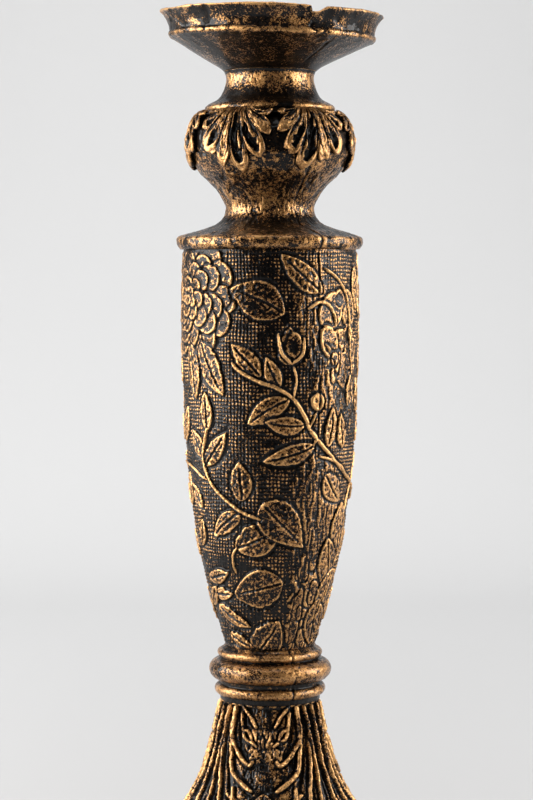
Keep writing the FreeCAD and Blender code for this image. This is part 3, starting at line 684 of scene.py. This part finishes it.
def knop():
    probe = Probe("knop_spool")
    line = resampled(probe.side(Probe("relief_shaft").high + 0.02, probe.high - 0.02), 0.5)
    c = Casting(line, 420)
    base = c.z[0]
    disc = 1 - smooth(c.z, base + 5.5, base + 7.5)
    c.h += 0.16 * c.rough(1.9, 61, 3) + 0.22 * c.rough(7, 64, 2)
    c.h -= 0.12 * smooth(c.noise(2.0, 67, stretch=3), 0.35, 0.8) * disc[:, None]
    c.h += 0.25 * c.noise(12, 68) * disc[:, None]
    seam_lines(c, SEAM, 0.25)
    span = c.z[-1] - base
    # The waist gets more gold and a painted highlight where the side lamps fall; the bulb under the crown's
    # leaves is painted dark, painted shade
    waist_gold_and_highlight = bell(c.z - (base + 0.31 * span), 4.2)
    rim = bell(c.z - (base + 2.6), 1.6)
    shade = hump(c.z, base + 5.4, base + 7.5, base + 13, base + 16)
    painted_shade_under_leaves = smooth(c.z, c.z[-1] - 22, c.z[-1] - 8)
    belly = bell(c.z - (c.z[-1] - 27), 9)
    tone = (0.55 * waist_gold_and_highlight - 0.01 * rim - 0.30 * shade - 0.9 * painted_shade_under_leaves + 0.08 * belly)[:, None]
    tone = tone + 0.25 * c.noise(8, 69)
    c.gilded("knop_casting", "knop_spool", "knop", tone, rub=-0.1, umber=0.9, blotch=0.8, speckle=2.6)


# The key that stops the pan from turning on its boss: azimuth in degrees, sizes and play in its slot in mm
KEY_PLACE, KEY_WIDE, KEY_TALL, KEY_PROUD, KEY_PLAY = 30.0, 3.0, 4.4, 1.5, 0.25


def push_out(c, rows, half_width, radius, new_radius):
    """Moves the skin of some rows out to a new radius where the key stands, for it or for its slot."""
    columns = np.abs(c.away(KEY_PLACE)[0]) < math.degrees(math.asin(half_width / radius))
    c.least[np.ix_(rows, columns)] = new_radius


def neck():
    probe = Probe("neck_spool")
    band = Probe("leaf_crown")
    seat = Probe("pan_gasket").high
    outer = probe.side(band.high + 0.02, seat - 0.22)
    inner = probe.crown(outer[-1, 0] - 0.02, BORE + 0.1)
    c = Casting(resampled(np.vstack([outer, inner]), 0.4), 360)
    skin = (c.z < seat - 0.3) & (c.r > 15)
    fade = np.where(skin, smooth(c.z, c.z[0] + 0.2, c.z[0] + 1.5), 0)[:, None]
    c.h += fade * (0.10 * c.rough(2.0, 71, 3) + 0.12 * c.noise(8, 74))
    boss = probe.radius(seat + 2)
    on_boss = (c.z > seat - 0.4) & (c.z < seat + KEY_TALL) & (c.r < boss + KEY_PROUD) & (c.r > boss - 0.6)
    push_out(c, on_boss, KEY_WIDE / 2, boss, boss + KEY_PROUD)
    base = c.z[0]
    # The waist gets more gold and a painted highlight where the side lamps fall on it
    waist_gold_and_highlight = bell(c.z - (base + 14.8), 4.8) * skin
    ring = bell(c.z - (base + 1.3), 1.5) * skin
    shade = bell(c.z - (base + 6.0), 3.2) * skin
    # The neck's top, under the pan, is painted dark: painted shade
    top = bell(c.z - seat, 1.3) * skin
    dark_side = bell(c.away(14), 9) * bell(c.z - base, 4)[:, None]
    tone = (0.75 * waist_gold_and_highlight + 0.1 * ring - 0.35 * shade - 2.5 * top)[:, None] + 0.3 * c.noise(6, 75) - dark_side
    c.gilded("neck_casting", "neck_spool", "neck", tone, rub=-0.1, umber=0.8, blotch=0.6, speckle=2.4)


def collar():
    probe = Probe("collar_ring")
    line = probe.side(Probe("leaf_foot").high + 0.02, Probe("relief_shaft").low - 0.02)
    c = Casting(resampled(line, 0.4), 380)
    c.h += 0.10 * c.rough(1.8, 81, 3) + 0.16 * c.noise(7, 84) + 0.12 * c.noise(16, 85)
    seam_lines(c, SEAM - 8, 0.35)
    # The collar's bottom step, under its lowest bead, is painted dark: painted shade
    shaded_step = 1 - smooth(c.z, c.z[0] + 1.4, c.z[0] + 2.6)
    tone = 0.25 * c.noise(7, 86) - 0.03 - 1.6 * shaded_step[:, None]
    c.gilded("collar_casting", "collar_ring", "collar", tone, rub=0.12, gain=1.6, speckle=1.7, umber=0.8)


FOOT_PANELS = 3
FOOT_TURN = -5.0  # azimuth of the middle of the front panel, degrees
# Half of a foot panel, from its middle: ribs and cuts as width, level and places (degrees, mm below the top)
FOOT_RIBS = [
    (1.9, 1.35, [(46.5, 0.3), (49, 9), (47, 18), (43, 29), (37.5, 39), (33.5, 50), (31, 65)]),
    (1.7, 1.25, [(48.5, 12), (50, 20), (49.5, 30), (47, 40), (44.5, 52), (43, 65)]),
    (1.6, 1.15, [(60, 0.3), (60, 8), (59.5, 20), (59.5, 40), (58, 65)]),
    (2.3, 1.3, [(37, 0.3), (37, 13), (34, 21), (32, 26), (28.5, 30), (19, 34), (10.5, 37)]),
    (2.0, 1.15, [(35, 16), (27, 21), (20, 24.5), (14, 26), (11, 24.5)]),
    (1.7, 1.0, [(27, 0.4), (25.5, 8), (21, 14.3), (15, 15.5), (9, 17.7)]),
    (1.7, 1.0, [(27, 0.7), (17.5, 4.6), (10.5, 9.2)]),
    (1.8, 0.9, [(24, 10.5), (18, 11.5), (14, 14.5)]),
    (2.2, 1.1, [(30, 39), (22, 42), (14, 47), (11, 55), (14, 65)]),
    (1.8, 1.0, [(26, 36), (24, 46), (24, 54), (26, 65)]),
]
FOOT_CUTS = [
    (3.1, -1.7, [(42, 0.3), (41, 13), (38.5, 22), (31.5, 33), (27, 42), (24, 52), (22, 65)]),
    (2.8, -1.3, [(31.5, 0.5), (28.5, 10), (24, 18), (18, 22.5)]),
    (2.6, -1.2, [(54, 1), (55, 10), (55, 20), (54, 40), (52, 65)]),
    (2.4, -1.2, [(45.5, 24), (43.5, 34), (40, 45), (37.5, 65)]),
]


def foot():
    probe = Probe("leaf_foot")
    line = resampled(probe.side(probe.low + 0.02, probe.high - 0.02), GRID)
    c = Casting(line, 600)
    top = c.z[-1]
    c.h += 0.22 * c.rough(3.4, 91, 3) - 0.45
    berries = smooth(np.abs(c.noise(3.3, 94)) + 0.4 * c.noise(1.7, 95), 0.16, 0.42)
    down = (top - c.z)[:, None]
    patch_rows = hump(down, 9, 13, 24, 27)
    for panel in range(FOOT_PANELS):
        middle = 360 / FOOT_PANELS * panel + FOOT_TURN
        patch = (1 - smooth(np.abs(c.across(middle)) + 0.8 * c.patchy, 7, 9)) * patch_rows
        c.h += patch * (berries - 0.1)
        c.petal(middle, top - 31.5, 8.6, 5.0, 0, -0.9, rim=0.0, dish=-0.5)
        c.petal(middle, top - 31, 5.0, 3.2, 0, -0.45, rim=0.0, dish=-0.35, depth=0.2)
        c.leaf(middle, top - 38, 24, 14, 180, blunt=0.8)
        for sign in (-1, 1):
            for width, level, places in FOOT_CUTS + FOOT_RIBS:
                places = [(middle + sign * a, top - d) for a, d in places]
                c.stroke(places, width, level, moat=0.8 if level > 0 else 0.0, fade=0.5, crest=0.8)
    c.h += 0.16 * c.stipple
    ends = hump(c.z, c.z[0] + 0.4, c.z[0] + 3, top - 1.2, top - 0.2)
    c.h = (np.clip(c.h, -1.9, 1.5) - 0.3) * ends[:, None]
    between = sum(bell(c.away(FOOT_TURN + 360 / FOOT_PANELS * (k + 0.5)), 13) for k in range(FOOT_PANELS))
    tone = 0.7 * c.noise(5, 97, stretch=1.6) - 0.08 - 0.45 * between
    c.gilded("foot_relief", "leaf_foot", "foot", tone, gain=1.05, speckle=2.3, umber=0.5)


def plinth():
    probe = Probe("base_plinth")
    line = probe.side(Probe("base_plate").low + 0.02, Probe("leaf_foot").low - 0.02)
    c = Casting(resampled(line, 0.5), 480)
    c.h += 0.10 * c.rough(2.4, 101, 3) + 0.15 * c.noise(9, 104)
    tone = 0.25 * c.noise(10, 105)
    c.gilded("plinth_casting", "base_plinth", "plinth", tone, rub=0.05, gain=1.6, umber=0.7)


# ---- The drip pan ----

PAN_WARP = 1.7  # how far the rim was cast out of level, degrees, right side low
PAN_DIP = 1.1  # the same towards the front, front side low
PAN_SHIFT = 1.0  # how far the rim was cast off centre, to the right, mm
RIDGE_SHARE = 0.588  # height of the ridge as a share of the pan's
CHIP = (19.8, 29.6, 2.4)  # the chip in the rim: azimuth of its steep side and of its far end, depth in mm


def pan():
    probe = Probe("wax_pan")
    hub = probe.hole(probe.low + 3)
    slot = probe.hole(probe.low + 3, KEY_PLACE)
    outer = probe.side(probe.low + 0.02, probe.high - 0.1)
    inner = probe.crown(outer[-1, 0] - 0.15, hub + 0.05)
    c = Casting(resampled(np.vstack([[(hub, probe.low)], outer, inner]), 0.5), 440, hub)
    push_out(c, c.r < slot, KEY_WIDE / 2 + KEY_PLAY, hub, slot)
    ridge = probe.low + RIDGE_SHARE * (probe.high - probe.low)
    band = smooth(c.z, ridge - 0.5, ridge + 2.0)[:, None]
    turn = int(np.argmax(c.z))
    outside = np.arange(len(c.z)) <= turn
    out = smooth(c.r, hub + 9, c.r.max())[:, None]
    x, y = (c.r[:, None] * f(np.radians(c.azimuth))[None, :] for f in (np.sin, np.cos))
    c.drop -= (math.tan(math.radians(PAN_WARP)) * x + math.tan(math.radians(PAN_DIP)) * y) * out
    c.shift = PAN_SHIFT * out
    lip = smooth(c.z, probe.high - 9, probe.high)[:, None]
    start, end, deep = CHIP
    a = c.away(0)
    c.drop -= deep * np.where((a > start) & (a < end), 1 - smooth(a, start + 3, end), 0) * lip
    c.drop += 0.45 * c.noise(28, 111)[turn:turn + 1] * lip
    rough = 0.16 * c.rough(3.0, 112, 3) + 0.30 * c.noise(11, 116) * band
    dents = smooth(c.noise(6.5, 117, stretch=0.7), 0.45, 0.9)
    c.h += out * (rough - 0.45 * dents * band)
    cracks(c, ridge)
    seam_lines(c, SEAM + 5, 0.12)
    c.h *= smooth(c.r, hub + 2, hub + 9)[:, None]
    shade = 0.10 * (outside & (c.z < ridge))
    # A gold line along the ridge; the pan's lowest rows, where it sits on the neck, are painted dark: painted
    # shade
    edge = 0.25 * bell(c.z - ridge, 0.7) * outside - 0.8 * bell(c.z - probe.low, 1.5)
    lit = bell(c.z - probe.high, 1.2)[:, None] * (0.1 + 0.7 * bell(c.away(-50), 34))
    smear = bell(c.away(-46), 9) * bell(c.z - ridge - 3.5, 2.2)[:, None] * outside[:, None]
    tone = (edge - shade)[:, None] + lit + 0.4 * smear + 0.45 * c.noise(7, 118)
    c.gilded("pan_casting", "wax_pan", "pan", tone, PAN, rub=-0.20, umber=0.9, speckle=2.7, blotch=0.65)


def cracks(c, ridge):
    """Short ragged cracks in the rim band and across the ridge."""
    inside = (c.r < c.r.max() - 4) & (np.arange(len(c.z)) > int(np.argmax(c.z)))
    keep = c.h[inside]
    for azimuth, low, high, lean in ((-57, 1, 8, -14), (-41, -1, 3, 4), (24, -2, 5, -3), (19, 6.5, 11, 0.5),
                                     (140, 0, 7, 6)):
        places = [(azimuth + lean * t + 1.2 * math.sin(9 * t), ridge + low + (high - low) * t)
                  for t in np.linspace(0, 1, 6)]
        c.stroke(places, 0.9, -0.7, fade=0.5)
    c.h[inside] = keep


# ---- The leaf crown ----

LEAF_COUNT = 6
LEAF_TURN = 3.0  # azimuth that the leaves are turned by, degrees
# Fingers of a leaf, from one side to the other: angle from straight down, length in mm, half angle, and where
# along it the dark slot in its middle opens (1 or more: a solid finger) and how wide that gets
FINGERS = [(-72, 11.5, 9, 1.2, 0.3), (-52, 16.5, 10, 0.40, 0.36), (-30, 22.5, 12, 0.50, 0.44),
           (-9, 26.0, 8, 1.2, 0.3), (8, 28.5, 10, 0.12, 0.55), (28, 23.5, 11, 0.40, 0.42),
           (49, 18.0, 10, 1.2, 0.3), (70, 12.5, 10, 0.3, 0.4)]
LEAF_ROOT = 5.5  # how far to the side the outermost fingers spring from the ring, mm
FINGER_COLUMNS = 18
FINGER_ROWS = 56
BAND_BORE = 17.3  # inner radius of the ring that the leaves hang from, mm


def bulb_line():
    """The bulb's section, downwards from just under the crown's band."""
    probe = Probe("knop_spool")
    low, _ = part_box("leaf_crown")
    return resampled(probe.side(low.z / MM - 6, probe.high - 0.02)[::-1], 0.25)


def finger_columns(seed):
    """Columns across a leaf: angle, place across its finger, reach, and where its slot opens and how wide."""
    rng = np.random.default_rng(seed)
    fingers = FINGERS if seed % 2 else [(-f[0],) + f[1:] for f in FINGERS[::-1]]
    angles, lengths, halves, opens, gapes = np.array(fingers).T
    angles = angles + rng.uniform(-2, 2, len(fingers))
    lengths = lengths * rng.uniform(0.98, 1.08, len(fingers))
    split = (angles[:-1] * halves[1:] + angles[1:] * halves[:-1]) / (halves[1:] + halves[:-1])
    borders = np.concatenate([[angles[0] - halves[0]], split, [angles[-1] + halves[-1]]])
    shorter = np.minimum(np.append(lengths[0], lengths), np.append(lengths, lengths[-1]))
    notch = rng.uniform(0.68, 0.9, len(fingers) + 1) * shorter
    columns = []
    for k, length in enumerate(lengths):
        x = np.linspace(-1, 1, FINGER_COLUMNS, endpoint=k == len(lengths) - 1)
        share = (x + 1) / 2
        phi = borders[k] + (borders[k + 1] - borders[k]) * share
        base = notch[k] + (notch[k + 1] - notch[k]) * share
        reach = base + (length - base) * np.sqrt(np.clip(1 - x ** 2, 0, 1))
        columns.append([phi, x, reach, opens[k] + 0 * x, gapes[k] + 0 * x])
    return np.concatenate(columns, axis=1)[:, :, None]


def shell_quads(n, m):
    """Quads of a sheet of n by m points, of its back, which is n * m points on, and of the wall between."""
    i, j = np.meshgrid(np.arange(n - 1), np.arange(m - 1), indexing="ij")
    front = np.stack([i * m + j, (i + 1) * m + j, (i + 1) * m + j + 1, i * m + j + 1], -1).reshape(-1, 4)
    far_side = (n - 1) * m + np.arange(m - 2, -1, -1)
    loop = np.concatenate([np.arange(m), m - 1 + m * np.arange(1, n), far_side, m * np.arange(n - 2, 0, -1)])
    after = np.roll(loop, -1)
    wall = np.stack([loop, after, after + n * m, loop + n * m], -1)
    return np.vstack([front[:, ::-1], front + n * m, wall[:, ::-1]])


def acanthus(line, azimuth, seed):
    """One hanging leaf as a thick shell: points, quads, uv and wear."""
    phi, x, reach, opens, gapes = finger_columns(seed)
    reach = reach * (1 + 0.05 * lattice(phi / 5 + 60, 0 * phi, 60, seed + 53))
    rho = np.linspace(0.04, 1, FINGER_ROWS)[None, :]
    lean = np.radians(phi * (0.50 + 0.50 * rho))
    side = LEAF_ROOT * np.sin(np.radians(phi)) * (1 - 0.3 * rho) + rho * reach * np.sin(lean)
    down = rho * reach * np.cos(lean) - 1.0

    lump = lattice(phi / 7 + 20 + 0 * rho, rho * 9 + 0 * phi, 40, seed + 50)
    fine = lattice(phi / 3.5 + 40 + 0 * rho, rho * 22 + 0 * phi, 80, seed + 51)
    at = x + 0.13 * lattice(phi / 40 + 10 + 0 * rho, rho * 5 + 0 * phi, 20, seed + 52)
    gape = 1.25 * gapes * (0.8 + 0.5 * lump) * hump(rho + 0.06 * fine, opens - 0.12, opens + 0.18, 0.80, 0.88)
    slot = (1 - smooth(np.abs(at), gape - 0.10, gape + 0.08)) * (gape > 0.08)
    strand = (1 - slot) * (0.8 + 0.2 * bell(np.abs(at) - 0.5, 0.35))
    groove = bell(np.abs(at) - 0.45 - 0.25 * lump, 0.07) * hump(rho, 0.1, 0.3, 0.7, 0.9) * (1 - slot)
    middle = 0.6 * bell(at, 0.12) * hump(rho, 0.3, 0.45, 0.62, 0.75) * (lump > 0.15)
    valley = bell(1 - np.abs(x), 0.21) * (1 - smooth(rho, 0.8, 0.98)) * (0.8 + 0.5 * fine)
    relief = np.maximum(strand, middle) * (1 - smooth(rho, 0.965, 1.0) * 0.5)
    root = bell(down - 3, 4.5)
    outer = 1.1 + 1.1 * root + 1.3 * relief - valley - 0.8 * slot - 0.5 * groove + 0.3 * fine + 0.3 * lump
    wear = 0.42 * relief - 0.12 - 0.8 * valley - 0.7 * slot - 0.6 * groove + 0.22 * fine + 0.06 * lump

    run, slope = run_along(line), directions(line)
    r, z = (np.where(down < 0, line[0, i] + down * slope[0, i], np.interp(down, run, line[:, i]))
            for i in (0, 1))
    nr, nz = (np.interp(down, run, normal) for normal in (-slope[:, 1], slope[:, 0]))
    a = np.radians(azimuth) + side / r
    shells = []
    for offset in (outer, 0.12 + 0.8 * root):
        radius, height = r + offset * nr, z + offset * nz
        shells.append(np.stack([radius * np.sin(a), -radius * np.cos(a), height], -1).reshape(-1, 3))
    plane = np.stack([side, down], -1).reshape(-1, 2)
    plane = (plane - plane.min(0)) / np.ptp(plane, axis=0).max()
    flat = np.vstack([plane, plane + [1.05, 0]])
    return np.vstack(shells), shell_quads(*wear.shape), flat, np.append(wear, np.full(wear.size, -0.5))


def crown():
    line = bulb_line()
    probe = Probe("leaf_crown")
    band = resampled(probe.side(probe.high - 1.9, probe.high - 0.05), 0.3)
    ring = Casting(band, 360, BAND_BORE).positions()
    rows, columns = ring.shape[:2]
    grid, corners = closed_grid(rows, columns)
    quads, uv = [grid], [corners * [1 / columns, 0.08 / rows]]
    points, wear = [ring.reshape(-1, 3)], [np.full(rows * columns, -0.4)]
    count = rows * columns
    for k in range(LEAF_COUNT):
        p, q, flat, w = acanthus(line, LEAF_TURN + 360 / LEAF_COUNT * (k + 0.5), 200 + k)
        corner = np.array([0.01 + 0.33 * (k % 3), 0.1 + 0.42 * (k // 3)])
        points.append(p)
        quads.append(q + count)
        uv.append((flat * [0.15, 0.30] + corner)[q].reshape(-1, 2))
        wear.append(w)
        count += len(p)
    points, quads, uv, wear = (np.concatenate(v) for v in (points, quads, uv, wear))
    paint = antique("crown_gilding", gain=2.2, rub=0.03, speckle=1.5, blotch=0.3, umber=0.3)
    mesh_piece("leaf_crown_relief", points, quads, uv, wear, 0 * wear, STEM, ["leaf_crown"],
               paint)


# ---- Felt and carried-over metal ----


FELT_BULGE = 0.7  # how far the felt's rim is rounded, mm


def felt_disc():
    """Pressed felt: its rim bulges softly between table and plate, and its fibres stand a little proud."""
    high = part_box("felt_pad")[1]
    radius, thick = high.x / MM, high.z / MM
    t = np.linspace(-math.pi / 2, math.pi / 2, 9)
    edge = np.column_stack([radius + FELT_BULGE * (np.cos(t) - 1), thick / 2 * (1 + np.sin(t))])
    base = np.column_stack([np.linspace(2, edge[0, 0], 60), np.zeros(60)])
    top = np.column_stack([np.linspace(edge[-1, 0], 2, 60), np.full(60, thick)])
    c = Casting(np.vstack([base[:-1], edge, top[1:]]), 300, 1.0)
    c.h += 0.12 * c.noise(1.2, 131) * bell(c.r - radius, 2.0)[:, None]
    piece = c.piece("felt_disc", STEM, "felt_pad", "green_felt", felt())


CARRIED = {
    zinc: ("base_screws", "tie_rod", "coupling_nut", "top_washer", "bottom_washer", "lock_washer",
           "bottom_nut", "index_pins"),
    black_enamel: ("base_plate",), cast_iron: ("ballast_weight",), rubber: ("pan_gasket",),
    dark_steel: ("pricket_spike",),
}


def carried_over():
    """Materials for the nodes that keep their CAD shape."""
    for paint, nodes in CARRIED.items():
        material = paint()
        for node in nodes:
            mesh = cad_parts[node].data
            mesh.materials.clear()
            mesh.materials.append(material)


# ---- Studio ----

CAMERA_AWAY = 1.057  # distance from the stem's axis, m
CAMERA_HEIGHT = 0.281  # m
CAMERA_SIDE = -0.0016  # m
CAMERA_DIP = 3.11  # degrees below level
LENS = 103.5  # mm
BACK, BEND, WIDE, RISE = 1.6, 0.7, 4.0, 3.2  # the paper sweep's place, bend radius, half width and height, m
FLOOR_START = -0.55  # front edge of the floor, m
# Lamps: place, what it is aimed at, size in m, power in W, colour
LAMPS = {
    "left_softbox": ((-0.95, -0.14, 0.46), (0, 0, 0.27), (1.25, 0.8), 22, (1.0, 0.99, 0.97)),
    "right_softbox": ((0.95, -0.02, 0.44), (0, 0, 0.27), (0.7, 0.75), 11, (1.0, 0.99, 0.97)),
    "top_softbox": ((0, -0.25, 1.4), (0, 0, 0.2), (0.9, 0.7), 4, (1, 1, 1)),
    "paper_light": ((0, 0.7, 2.4), (0, 1.6, 0.5), (2.8, 0.8), 20, (1, 1, 1)),
}


def sweep():
    """A paper floor that bends up into a wall; the paper is grey on the floor and paler up the wall, a
    painted brightening of the backdrop.
    """
    wall = Paint("studio_paper")
    split = wall.node("SeparateXYZ", {0: wall.place})
    # The wall's paper is painted paler than the floor's: painted light that brightens the backdrop
    painted_bright_wall = wall.mix(wall.noise(900.0, 2), (0.78, 0.785, 0.79, 1), (0.82, 0.82, 0.825, 1))
    paper = wall.mix(wall.ramp(split.outputs["Y"], 0.1, 1.3), (0.52, 0.52, 0.525, 1), painted_bright_wall)
    wall.set(Base_Color=paper, Roughness=0.9, Specular_IOR_Level=0.1)
    turns = np.linspace(0, math.pi / 2, 16)
    bend = [(BACK - BEND + BEND * math.sin(t), BEND - BEND * math.cos(t)) for t in turns]
    line = [(FLOOR_START, 0.0), *bend, (BACK, RISE)]
    mesh = bpy.data.meshes.new("studio_sweep")
    mesh.from_pydata([(x, y, z) for y, z in line for x in (-WIDE, WIDE)], [],
                     [(2 * i, 2 * i + 1, 2 * i + 3, 2 * i + 2) for i in range(len(line) - 1)])
    mesh.polygons.foreach_set("use_smooth", [True] * (len(line) - 1))
    mesh.materials.append(wall.material)
    linked("studio_sweep", mesh)


def lights():
    for name, (place, aim, size, power, colour) in LAMPS.items():
        data = bpy.data.lights.new(name, "AREA")
        data.shape, data.size, data.size_y = "RECTANGLE", *size
        data.energy, data.color = power, colour
        lamp = linked(name, data)
        lamp.location = place
        lamp.rotation_euler = (Vector(aim) - Vector(place)).to_track_quat("-Z", "Y").to_euler()
    world = bpy.data.worlds.new("studio_air")
    world.use_nodes = True
    air = world.node_tree.nodes["Background"].inputs
    air["Color"].default_value = (0.86, 0.88, 0.92, 1)
    air["Strength"].default_value = 0.07
    bpy.context.scene.world = world
    bpy.context.scene.view_settings.view_transform = "Standard"


def camera():
    data = bpy.data.cameras.new("camera")
    data.lens, data.sensor_width, data.clip_end = LENS, 36, 50
    made = linked("camera", data)
    made.location = (CAMERA_SIDE, -CAMERA_AWAY, CAMERA_HEIGHT)
    made.rotation_euler = (math.radians(90 - CAMERA_DIP), 0, 0)
    bpy.context.scene.camera = made


for build in (sweep, lights, camera, carried_over):
    build()
for build in (felt_disc, plinth, foot, collar, shaft, knop, crown, neck, pan):
    build()
